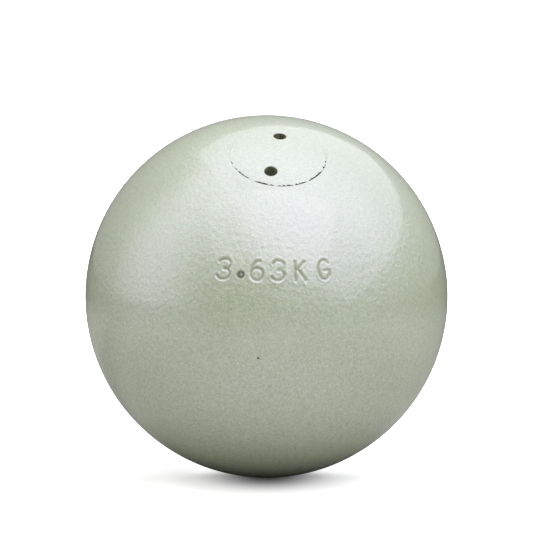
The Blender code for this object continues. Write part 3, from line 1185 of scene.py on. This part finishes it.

# The floor's paleness for light that bounces or reflects off it, with painted shade round the ball and
# far away: from, to, and its values there
UNDER_BALL = (0.010, 0.060, 0.12, 0.58)
FAR_AWAY = (0.10, 0.55, 1.0, 0.18)
CLOSE_BEHIND = (-0.03, 0.03, 0.52, 0.80)
FAR_BEHIND = (-0.05, 0.05, 0.85, 0.64)
BESIDE = (0.02, 0.08, 1.0, 0.68)

# How far the painted shadow reaches sideways, as a share of its reach to the camera, and where its
# back edge lies in front of the foot, further forward out in its tails
SHADOW_DEPTH = 0.71
SHADOW_BACK_EDGE = 3.2 * MM
SHADOW_TAIL_START = 12.0 * MM
SHADOW_TAIL_SWEEP = 0.3

# The white glow, with a shadow painted into it round the foot: from, to, and how much it adds, outward
# from the foot
FOOT_GLOW = 0.02
GLOW_FROM_FOOT = [
    (0.002, 0.021, 0.50),
    (0.019, 0.028, 0.045),
    (0.027, 0.040, -0.105),
    (0.042, 0.075, 0.66),
]

# The same past the back edge. The first step adds less out in the tails
TAIL_GLOW = (0.012, 0.028, 0.50, 0.12)
BACK_EDGE_GLOW = (0.001, 0.013)
BEHIND_GLOW = (0.013, 0.045, 0.0, 0.70)

# How much of the white surround a reflection sees, beside the lit floor and walls
FLOOR_IN_GLOSS = 0.02
WALLS_IN_GLOSS = 0.04


def seen_rays(tree, in_gloss):
    """1 for what the camera sees, and a smaller share for what a reflection or glass sees."""
    rays = tree.nodes.new("ShaderNodeLightPath").outputs
    gloss = maths("ADD", rays["Is Glossy Ray"], rays["Is Transmission Ray"], clamp=True)
    return maths("ADD", rays["Is Camera Ray"], times(gloss, in_gloss), clamp=True)


def floor_shaded_paleness(place, axes, aside):
    """The floor's paleness with painted shade: darker under, beside and behind the ball, and far away.
    """
    away = length_of(place)
    pale = times(ramp(away, *UNDER_BALL), ramp(away, *FAR_AWAY))
    close_behind = ramp(axes["X"], *CLOSE_BEHIND)
    far_behind = ramp(axes["X"], *FAR_BEHIND)
    behind = ramp(axes["Y"], 0.0, 0.05, 1.0, close_behind)
    behind = ramp(axes["Y"], 0.055, 0.13, behind, far_behind)
    beside = ramp(aside, 0.09, 0.22, ramp(aside, *BESIDE), 1.0)
    return times(times(pale, behind), beside)


def glow_with_painted_shadow(axes, aside):
    """The white glow, with the ball's soft shadow painted into it as a hollow round the foot."""
    in_front = maths("MAXIMUM", times(axes["Y"], -SHADOW_DEPTH), 0.0)
    inputs = {"X": axes["X"], "Y": in_front}
    drawn_in = add_node(in_front.id_data, "ShaderNodeCombineXYZ", inputs).outputs["Vector"]
    from_foot = length_of(drawn_in)
    in_tail = maths("MAXIMUM", minus(aside, SHADOW_TAIL_START), 0.0)
    swept = times(in_tail, SHADOW_TAIL_SWEEP)
    past_edge = plus(plus(axes["Y"], SHADOW_BACK_EDGE), swept)
    glow = FOOT_GLOW
    for first, last, more in GLOW_FROM_FOOT:
        glow = plus(glow, ramp(from_foot, first, last, 0.0, more))
    at_edge = ramp(past_edge, *BACK_EDGE_GLOW, 0.0, ramp(aside, *TAIL_GLOW))
    return plus(plus(glow, at_edge), ramp(past_edge, *BEHIND_GLOW))


def make_floor():
    """A pale table top that glows white for the camera, with a painted shadow in the glow and painted
    shade in its paleness.
    """
    bpy.ops.mesh.primitive_plane_add(size=FLOOR_SIZE, location=(0.0, 0.0, FLOOR_HEIGHT))
    floor = bpy.context.object
    floor.name = "floor"
    material = bpy.data.materials.new("pale_floor")
    material.use_nodes = True
    tree = material.node_tree
    tree.nodes.clear()
    place = tree.nodes.new("ShaderNodeTexCoord").outputs["Object"]
    axes = axes_of(place)
    aside = maths("ABSOLUTE", axes["X"])
    # Painted shade in the floor's paleness, seen by bounced and reflected light; the camera sees the
    # floor evenly pale
    pale = floor_shaded_paleness(place, axes, aside)
    rays = tree.nodes.new("ShaderNodeLightPath").outputs
    seen = times(rays["Is Camera Ray"], FLOOR_SEEN)
    blue = maths("MAXIMUM", times(pale, FLOOR_BLUE), seen)
    pale = maths("MAXIMUM", pale, seen)
    lit = add_node(tree, "ShaderNodeBsdfDiffuse", {"Color": join_colour(pale, pale, blue)})
    # The glow is hollowed into a painted shadow round the ball's foot
    glow = times(glow_with_painted_shadow(axes, aside), seen_rays(tree, FLOOR_IN_GLOSS))
    white = add_node(tree, "ShaderNodeEmission", {"Strength": glow})
    both = add_node(tree, "ShaderNodeAddShader", {0: lit.outputs[0], 1: white.outputs[0]})
    add_node(tree, "ShaderNodeOutputMaterial", {"Surface": both.outputs[0]})
    floor.data.materials.append(material)


def add_softbox(name, aim, half_width, half_length, edge, radiance, colour):
    """A lamp facing the ball, whose light fades over its edges as through a diffuser.

    aim is its place right of the front and above level, and its roll, in degrees. The halves and
    the edge are shares of its distance."""
    longitude, latitude, roll = aim
    out = around(longitude, latitude, 1.0)
    full = (half_width + edge, half_length + edge)
    lamp = bpy.data.lights.new(name, "AREA")
    lamp.shape = "RECTANGLE"
    lamp.size = 2 * full[0] * LAMP_DISTANCE
    lamp.size_y = 2 * full[1] * LAMP_DISTANCE
    lamp.energy = radiance * math.pi * lamp.size * lamp.size_y
    lamp.color = colour
    lamp.use_nodes = True
    tree = lamp.node_tree
    spot = axes_of(tree.nodes.new("ShaderNodeNewGeometry").outputs["Parametric"])
    strength = 1.0
    for axis, half, whole in zip(("X", "Y"), (half_width, half_length), full):
        off_middle = maths("ABSOLUTE", minus(spot[axis], 0.5))
        fade = ramp(off_middle, max(0.0, half - edge) / whole / 2, 0.5, 1.0, 0.0)
        strength = times(fade, strength)
    connect(strength, tree.nodes["Emission"].inputs["Strength"])
    box = bpy.data.objects.new(name, lamp)
    bpy.context.scene.collection.objects.link(box)
    turn = out.to_track_quat("Z", "Y").to_matrix().to_4x4()
    turn = turn @ Matrix.Rotation(math.radians(roll), 4, "Z")
    box.matrix_world = Matrix.Translation(out * LAMP_DISTANCE) @ turn
    box.visible_camera = False


make_floor()

add_softbox("overhead_softbox", (77.1, 63.1, -58.2), 1.03, 1.84, 0.02, 0.99, (1.0, 1.0, 1.085))
add_softbox("left_softbox", (-78.5, 3.8, -1.9), 0.305, 2.30, 0.57, 1.18, (1.0, 1.0, 1.0))
add_softbox("front_softbox", (3.7, 50.0, -3.8), 0.70, 0.465, 0.03, 1.045, (1.01, 1.0, 0.955))
add_softbox("right_softbox", (90.0, 73.5, 76.6), 1.38, 0.283, 0.294, 0.665, (1.0, 1.0, 1.0))

# The walls' dark patch: its direction, and how close to it they start and stop darkening
DARK_PATCH = (-0.30, -0.95, 0.08)
DARK_PATCH_EDGE = (0.78, 0.965)

world = bpy.data.worlds.new("studio")
bpy.context.scene.world = world
world.use_nodes = True
tree = world.node_tree
surround = tree.nodes["Background"]
feed(surround, color=(1.0, 1.0, 1.0, 1.0))
direction = tree.nodes.new("ShaderNodeTexCoord").outputs["Generated"]
inputs = {0: direction, 1: DARK_PATCH}
closeness = add_node(tree, "ShaderNodeVectorMath", inputs, operation="DOT_PRODUCT").outputs["Value"]
walls = ramp(closeness, *DARK_PATCH_EDGE, WALLS_STRENGTH, 0.0)
backdrop = times(seen_rays(tree, WALLS_IN_GLOSS), 1.0 - WALLS_STRENGTH)
connect(plus(backdrop, walls), surround.inputs["Strength"])

CAMERA_LENS = 172.8
CAMERA_DISTANCE = 0.70
CAMERA_ABOVE = 6.5
CAMERA_LOOKS_DOWN = math.radians(5.835)

camera_data = bpy.data.cameras.new("camera")
camera_data.lens = CAMERA_LENS
camera = bpy.data.objects.new("camera", camera_data)
bpy.context.scene.collection.objects.link(camera)
camera.location = around(0.0, CAMERA_ABOVE, CAMERA_DISTANCE)
camera.rotation_euler = (math.pi / 2 - CAMERA_LOOKS_DOWN, 0.0, 0.0)
bpy.context.scene.camera = camera

bpy.context.scene.view_settings.view_transform = "Standard"
